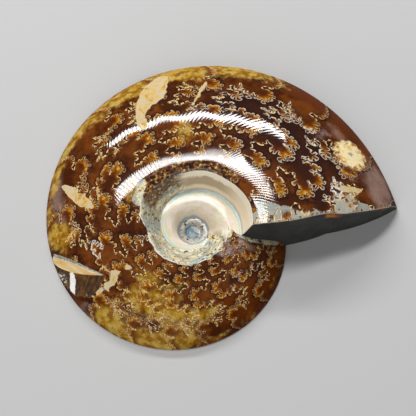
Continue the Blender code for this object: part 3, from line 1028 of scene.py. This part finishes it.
def rock_colour(paint, cloud, fleck):
    """Bare grey rock with tan and brown knots."""
    knots = paint.noise(1.9 * MM, 1, 0.4)
    return paint.layers(
        paint.between(cloud, 0.4, 0.6, (0.33, 0.35, 0.31), (0.44, 0.42, 0.34)),
        (paint.step(fleck, 0.55, 0.75) * 0.5, (0.20, 0.17, 0.14)),
        (paint.step(knots, 0.57, 0.61), (0.52, 0.44, 0.30)),
        (paint.step(knots, 0.61, 0.65), (0.085, 0.03, 0.012)),
        (paint.step(knots, 0.68, 0.76), (0.33, 0.12, 0.012)))


def tan_colour(paint, inside, grain):
    """Tan hide with ochre swirls, paler along its edge; inside is the distance to that edge."""
    swirl = paint.noise(3.2 * MM, 2, 0.5, 1.6)
    return paint.layers(
        paint.between(swirl, 0.42, 0.60, (0.62, 0.50, 0.31), (0.66, 0.44, 0.13)),
        (paint.step(swirl, 0.60, 0.68), (0.46, 0.27, 0.06)),
        (paint.step(grain, 0.5, 0.8) * 0.5, (0.46, 0.34, 0.20)),
        (paint.step(inside, 0.5, 0.1) * 0.35, (0.66, 0.58, 0.42)))


def burr_colour(paint, inside, grain, fleck):
    """Straw yellow, amber towards its edge, with a small grey pit in the middle."""
    return paint.layers(
        paint.between(inside, 0.7, 1.7, (0.36, 0.12, 0.008), (0.78, 0.50, 0.14)),
        (paint.step(grain + inside * 0.03, 0.44, 0.62) * 0.9, (0.95, 0.82, 0.50)),
        (paint.step(fleck, 0.55, 0.70) * 0.35, (0.62, 0.38, 0.11)),
        (paint.step(inside, 0.45, 0.10) * 0.6, (0.74, 0.56, 0.26)),
        (paint.step(inside, 4.2, 4.9), (0.30, 0.27, 0.22)))


def worn_ground(paint):
    """Shell worn through: cream and olive, with blue-grey streaks, brown specks and near-black
    specks.
    """
    cloud = paint.noise(3.4 * MM, 3, 0.5)
    grit = paint.noise(1.1 * MM, 3, 0.55)
    streaks = paint.noise(1.0, 3, 0.6, spot=paint.place((11.0, 6.0, 1.0), "UV"))
    return paint.layers(
        paint.between(grit, 0.40, 0.60, (0.56, 0.44, 0.20), (0.92, 0.86, 0.66)),
        (paint.step(streaks + (grit - 0.5) * 0.5, 0.48, 0.57) * 0.85, (0.27, 0.37, 0.41)),
        (paint.step(grit + (cloud - 0.5) * 0.5, 0.59, 0.66) * 0.85, (0.34, 0.16, 0.03)),
        (paint.step(grit + (cloud - 0.5) * 0.3, 0.39, 0.34) * 0.9, (0.05, 0.03, 0.02)))


def crackle_colour(paint):
    """Dark brown and black, broken by golden chips."""
    chip = paint.noise(0.9 * MM, 3, 0.6, 0.2)
    return paint.layers(
        paint.between(chip, 0.44, 0.51, (0.016, 0.011, 0.013), (0.16, 0.06, 0.02)),
        (paint.step(chip, 0.55, 0.60), (0.52, 0.27, 0.06)),
        (paint.step(chip, 0.62, 0.67), (0.72, 0.56, 0.30)))


def pearly_hollow():
    """Umbilicus: beige wall with painted shade, mottled where it is worn through, and a pearly
    inner whorl.
    """
    paint = Finish("pearly_hollow")
    cloud = paint.noise(3.0 * MM, 4, 0.6)
    grain = paint.noise(0.9 * MM, 4, 0.65)
    fleck = paint.noise(0.4 * MM, 2, 0.6)
    coil, outward = paint.own_place()
    lines = paint.noise(1.0, 3, 0.6, spot=paint.place((3.0, 7.0, 1.0), "UV"))
    sheen = paint.noise(1.0, 4, 0.6, spot=paint.place((14.0, 2.6, 1.0), "UV"))
    height = outward + (lines - 0.5) * 0.25 + (cloud - 0.5) * 0.25

    # Wall: a pale ledge over a band of painted shade, grey-blue painted shade by the seam, then
    # worn ground
    band = paint.step(height, -0.26, -0.34) * paint.step(height, -0.90, -0.60)
    worn = paint.step(coil + (cloud - 0.5) * 0.08, 0.27, 0.31) * paint.step(coil, 0.98, 0.93)
    above = paint.step(coil, 0.28, 0.33) * paint.step(coil, 0.46, 0.43)
    crackle = above * paint.step(outward + (cloud - 0.5) * 0.9, -0.62, -0.45)
    wall = paint.layers(
        paint.between(height, -0.60, -0.10, (0.95, 0.78, 0.55), (0.97, 0.88, 0.70)),
        # band of painted shade on the lower part of the wall
        (band * paint.step(coil, 0.06, 0.16, 0.10, 0.85), (0.36, 0.275, 0.16)),
        # grey-blue painted shade at the wall's foot, by the seam
        (paint.step(height, -0.78, -0.98) * 0.7, (0.34, 0.39, 0.40)),
        (worn, worn_ground(paint)),
        (crackle * 0.9, crackle_colour(paint)))

    # Inner whorls: cream and rose, rainbow lines along the outer edge, tan painted shade round the
    # centre
    edge = outward + (cloud - 0.5) * 0.35
    rainbow = paint.layers(
        paint.between(edge, 0.66, 0.74, (0.95, 0.66, 0.52), (0.80, 0.92, 0.50)),
        (paint.step(edge, 0.76, 0.84), (0.46, 0.71, 0.75)),
        (paint.step(edge, 0.93, 1.00), (0.92, 0.93, 0.90)))
    rainbow_in = paint.step(lines + (cloud - 0.5) * 0.8, 0.40, 0.56, 0.25, 0.9)
    from_pole = paint.field("from_pole") + (cloud - 0.5) * 1.2 + (grain - 0.5) * 0.5
    centre = centre_colour(paint, from_pole, cloud, grain, fleck)
    pearl = paint.layers(
        paint.between(sheen, 0.35, 0.6, (0.78, 0.67, 0.49), (0.88, 0.80, 0.67)),
        (paint.step(cloud, 0.50, 0.66) * 0.7, (0.90, 0.72, 0.62)),
        (paint.step(cloud, 0.46, 0.34) * 0.4, (0.82, 0.86, 0.60)),
        (paint.step(fleck + (grain - 0.5) * 0.6, 0.60, 0.72) * 0.5, (0.56, 0.46, 0.32)),
        (paint.step(edge, 0.56, 0.70) * rainbow_in, rainbow),
        # tan painted shade where each inner whorl's wall falls towards its seam
        (paint.step(height, -0.1, -0.9) * 0.65, (0.62, 0.47, 0.29)),
        (paint.step(from_pole, 4.6, 4.3), centre))
    colour = paint.mix(paint.step(coil, 0.95, 1.0), wall, pearl)
    relief = paint.bump(lines * 0.4 + grain * 0.6, 0.5, 0.12 * MM)
    paint.shade(Base_Color=colour, Roughness=0.35, IOR=1.4, Coat_Weight=0.35, Coat_Roughness=0.12,
                Normal=relief)
    return paint.material


def centre_colour(paint, from_pole, cloud, grain, fleck):
    """First whorls: a pale ring with near-black specks and a grey-blue rim, round a blue swirl."""
    swirl = paint.between(cloud + (grain - 0.5) * 0.7, 0.46, 0.56,
                          (0.18, 0.34, 0.46), (0.56, 0.60, 0.58))
    return paint.layers(
        paint.between(grain + (fleck - 0.5) * 0.4, 0.44, 0.56,
                      (0.50, 0.45, 0.36), (0.86, 0.84, 0.80)),
        (paint.step(grain, 0.55, 0.58), (0.02, 0.017, 0.018)),
        (paint.step(fleck, 0.62, 0.68), (0.42, 0.24, 0.08)),
        (paint.step(from_pole, 3.7, 4.0), (0.30, 0.36, 0.38)),
        (paint.step(from_pole, 2.3, 2.0), swirl))


def shaded_mouth_stone():
    """Rock in the mouth: dark grey with painted shade, under the shell's cream edge and two amber
    bits.
    """
    paint = Finish("shaded_mouth_stone")
    cloud = paint.noise(6 * MM, 5, 0.6)
    grain = paint.noise(0.7 * MM, 4, 0.7)
    out, depth = paint.own_place()
    bits = [paint.step(paint.size_of(out - along) + (cloud - 0.5) * 3, 2.6, 1.6)
            * paint.step(depth + (grain - 0.5), deepest, shallowest)
            for along, shallowest, deepest in AMBER_BITS]
    amber = paint.between(cloud, 0.4, 0.6, (0.13, 0.03, 0.004), (0.40, 0.13, 0.006))
    edge = paint.step(depth + (grain - 0.5) * 1.2, 0.75, 0.45)
    colour = paint.layers(
        # near-black base: the rock's dark grey darkened with painted shade of a face turned from
        # the lamps
        paint.between(cloud, 0.35, 0.65, (0.01, 0.01, 0.009), (0.024, 0.024, 0.021)),
        (paint.step(grain, 0.55, 0.75) * 0.5, (0.05, 0.048, 0.042)),
        (paint.largest(*bits), amber),
        (edge * 0.85, (0.52, 0.47, 0.36)))
    relief = paint.bump(cloud * 0.5 + grain * 0.5, 0.6, 0.25 * MM)
    paint.shade(Base_Color=colour, Roughness=0.62 + grain * 0.2, IOR=1.5, Normal=relief)
    return paint.material


def sawn_face():
    """Polished cut along the coil: grey stone in the living chamber, calcite between the septa.

    The wall is a log spiral, so ln(outer radius / radius) / tightening is the turn at which it
    passes a point.  Less the point's own angle, that counts the whorls inwards: its whole part is
    the whorl, and the rest runs from 0 at the outer wall to 1 at the inner one.
    """
    paint = Finish("sawn_face")
    x, y = paint.own_place()
    radius = paint.maths("SQRT", x * x + y * y)
    angle = paint.maths("FLOORED_MODULO", paint.maths("ARCTAN2", y, x) - MOUTH_ANGLE, FULL_TURN)
    bulge = (paint.maths("COSINE", angle - SIDE_BULGE_AT) * SIDE_BULGE
             + paint.maths("COSINE", (angle - OVAL_BULGE_AT) * 2) * OVAL_BULGE)
    passed = bulge - paint.maths("LOGARITHM", radius * (1 / COIL_RADIUS), math.e)
    whorls = (passed * (1 / COIL_TIGHTENING) - angle) * (1 / FULL_TURN)
    whorl = paint.maths("FLOOR", whorls)
    inward = whorls - whorl
    turn = angle + whorl * FULL_TURN + inward * (1 - inward) * 0.7
    septum = turn * (1 / SEPTUM_STEP)
    chamber = paint.maths("FLOOR", septum)
    wall_gap = (0.5 - paint.size_of(inward - 0.5)) * radius * WHORL_SHARE
    septum_gap = (0.5 - paint.size_of(septum - chamber - 0.5)) * radius * SEPTUM_STEP

    cloud = paint.noise(5 * MM, 5, 0.6)
    grain = paint.noise(1.2 * MM, 4, 0.6)
    tint = paint.node("TexWhiteNoise", {"noise_dimensions": "1D"}, {"W": chamber})
    tint = tint + (cloud - 0.5) * 0.6
    lining = paint.largest(paint.step(wall_gap + (grain - 0.5) * 2, 2.0, 0.8),
                           paint.step(septum_gap + (grain - 0.5) * 1.2, 1.0, 0.4))
    rock = paint.between(cloud, 0.35, 0.65, (0.06, 0.058, 0.052), (0.15, 0.14, 0.12))
    rock = paint.mix(paint.step(grain, 0.58, 0.70) * 0.5, rock, (0.26, 0.24, 0.20))
    living = paint.step(turn + (cloud - 0.5) * 0.1, LIVING_CHAMBER + 0.02, LIVING_CHAMBER - 0.02)
    colour = paint.layers(
        paint.between(tint, 0.2, 0.4, (0.11, 0.03, 0.008), (0.33, 0.125, 0.018)),
        (paint.step(tint, 0.55, 0.75), (0.48, 0.29, 0.08)),
        (paint.step(tint, 0.85, 0.95), (0.70, 0.64, 0.52)),
        (lining * 0.75, (0.56, 0.36, 0.12)),
        (living, rock),
        (paint.step(septum_gap, 0.28, 0.10) * (1 - living) * 0.9, (0.82, 0.72, 0.50)),
        (paint.step(wall_gap, 0.50, 0.25) * 0.9, (0.05, 0.02, 0.01)))
    paint.shade(Base_Color=colour, Roughness=0.25, IOR=1.5, Coat_Weight=0.4, Coat_Roughness=0.1)
    return paint.material


def chip_wall():
    """Broken edge of the shell: a thin grey-blue layer over bands of orange and tan."""
    paint = Finish("chip_wall")
    along, out = paint.own_place()
    streak = paint.noise(1.0, 4, 0.6, spot=paint.place((0.16, 2.4, 1.0), "UV"))
    grain = paint.noise(0.8 * MM, 3, 0.6)
    bottom = paint.step(out + along * 0.09 + (grain - 0.5) * 0.6, 3.3, 3.9)
    depth = out + (grain - 0.5) * 0.5 + along * 0.035
    shale = paint.between(grain, 0.45, 0.62, (0.26, 0.27, 0.23), (0.50, 0.50, 0.42))
    colour = paint.layers(
        paint.between(streak, 0.38, 0.62, (0.82, 0.46, 0.11), (0.92, 0.72, 0.38)),
        (paint.step(streak, 0.58, 0.66) * 0.8, (0.95, 0.88, 0.68)),
        (bottom * 0.8, (0.92, 0.80, 0.50)),
        (paint.step(depth, 0.90, 0.75), shale),
        (paint.step(paint.size_of(depth - 0.85), 0.14, 0.06) * 0.6, (0.90, 0.84, 0.66)))
    relief = paint.bump(streak, 0.4, 0.12 * MM)
    paint.shade(Base_Color=colour, Roughness=0.42, IOR=1.5, Normal=relief)
    return paint.material


def chip_floor():
    """Floor of the chip: dark brown calcite with dim streaks, a white painted glint and pale
    crumbs.
    """
    paint = Finish("chip_floor")
    along, out = paint.own_place()
    cloud = paint.noise(4 * MM, 4, 0.6)
    grain = paint.noise(0.9 * MM, 4, 0.6)
    streak = paint.noise(1.0, 3, 0.6, spot=paint.place((1.3, 0.16, 1.0), "UV"))
    ragged = (grain - 0.5) * 1.4

    # The painted glint is a white strip that leans outwards, from a blunt start to a point
    aside = paint.size_of((out - GLINT_OUT) - (along - GLINT_ALONG) * GLINT_LEAN)
    reach = paint.step(along, 8.3, 10.6, 0.7, 1.7) * paint.step(along, 10.6, 12.9, 1.0, 0.1)
    painted_glint = paint.step(reach - aside + ragged, 0.0, 0.3) * paint.step(along, 8.1, 8.5)
    off_along, off_out = along - CRUMBS_ALONG, out - CRUMBS_OUT
    crumbs = paint.step(off_along * off_along + off_out * off_out + ragged * 5, 8.0, 4.0)
    crumbs = crumbs * paint.step(grain, 0.44, 0.50)
    colour = paint.layers(
        paint.between(cloud, 0.4, 0.62, (0.05, 0.022, 0.01), (0.15, 0.066, 0.016)),
        (paint.step(streak, 0.50, 0.66) * 0.5, (0.19, 0.10, 0.03)),
        (paint.step(streak, 0.46, 0.34) * 0.5, (0.03, 0.014, 0.009)),
        (crumbs * 0.9, (0.56, 0.54, 0.46)),
        (painted_glint, (0.88, 0.87, 0.84)))
    relief = paint.bump(streak + grain * 0.4 + painted_glint, 0.5, 0.3 * MM)
    paint.shade(Base_Color=colour, Roughness=0.25 + painted_glint * 0.3, IOR=1.5, Coat_Weight=0.4,
                Normal=relief)
    return paint.material


# Camera and studio, in metres
VIEW_HEIGHT = math.radians(70)
LENS = 100
CAMERA_DISTANCE = 0.333
AIM_FROM_POLE = Vector((0.0042, 0.0081, 0.0))
TABLE_SIZE = 3.0
# name, start, end, width and power of each lamp: two mirrored along the flank, and a fill
LAMPS = (("far_lamp", (-0.50, 0.58, 0.5), (0.29, 0.58, 0.5), 0.055, 3.7),
         ("high_lamp", (-0.37, 0.19, 0.75), (0.06, 0.424, 0.75), 0.09, 3.6),
         ("fill_lamp", (-1.00, -1.10, 0.55), (0.50, -1.10, 0.55), 1.1, 9.0))


def make_camera(pole):
    """Looks down on the shell from the open side of its mouth."""
    camera = add_object("camera", bpy.data.cameras.new("camera"))
    bpy.context.scene.camera = camera
    camera.data.lens = LENS
    camera.data.clip_start = 0.01
    aim = Vector((pole[0], pole[1], 0.0)) + AIM_FROM_POLE
    back = Vector((0.0, -math.cos(VIEW_HEIGHT), math.sin(VIEW_HEIGHT)))
    camera.location = aim + back * CAMERA_DISTANCE
    camera.rotation_euler = (math.pi / 2 - VIEW_HEIGHT, 0.0, 0.0)


def make_table():
    """Plain pale table top."""
    half = TABLE_SIZE / 2
    mesh = bpy.data.meshes.new("table")
    mesh.from_pydata([(-half, -half, 0), (half, -half, 0), (half, half, 0), (-half, half, 0)],
                     [], [(0, 1, 2, 3)])
    paint = Finish("table")
    paint.shade(Base_Color=(0.55, 0.55, 0.55), Roughness=0.9, Specular_IOR_Level=0.2)
    mesh.materials.append(paint.material)
    add_object("table", mesh)


def make_lamp(name, start, end, width, power):
    """Soft lamp between two points, facing the shell."""
    lamp = bpy.data.lights.new(name, "AREA")
    lamp.shape = "RECTANGLE"
    lamp.size, lamp.size_y, lamp.energy = (end - start).length, width, power
    item = add_object(name, lamp)
    item.location = (start + end) / 2
    away = item.location.normalized()
    along = (end - start).normalized()
    along = (along - along.dot(away) * away).normalized()
    item.rotation_euler = Matrix((along, away.cross(along), away)).transposed().to_euler()


def make_light():
    """The lamps, and an even pale surround."""
    for name, start, end, width, power in LAMPS:
        make_lamp(name, Vector(start), Vector(end), width, power)
    world = bpy.data.worlds.new("studio")
    bpy.context.scene.world = world
    world.use_nodes = True
    background = world.node_tree.nodes["Background"]
    background.inputs["Color"].default_value = (1.0, 1.0, 1.0, 1.0)
    background.inputs["Strength"].default_value = 0.07
    bpy.context.scene.view_settings.view_transform = "Standard"


finishes = [polished_shell(), pearly_hollow(), shaded_mouth_stone(), sawn_face(), chip_wall(),
            chip_floor()]
shell, pole = make_shell(finishes)
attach(shell, "root")
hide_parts("ammonite_half")
make_camera(pole)
make_table()
make_light()
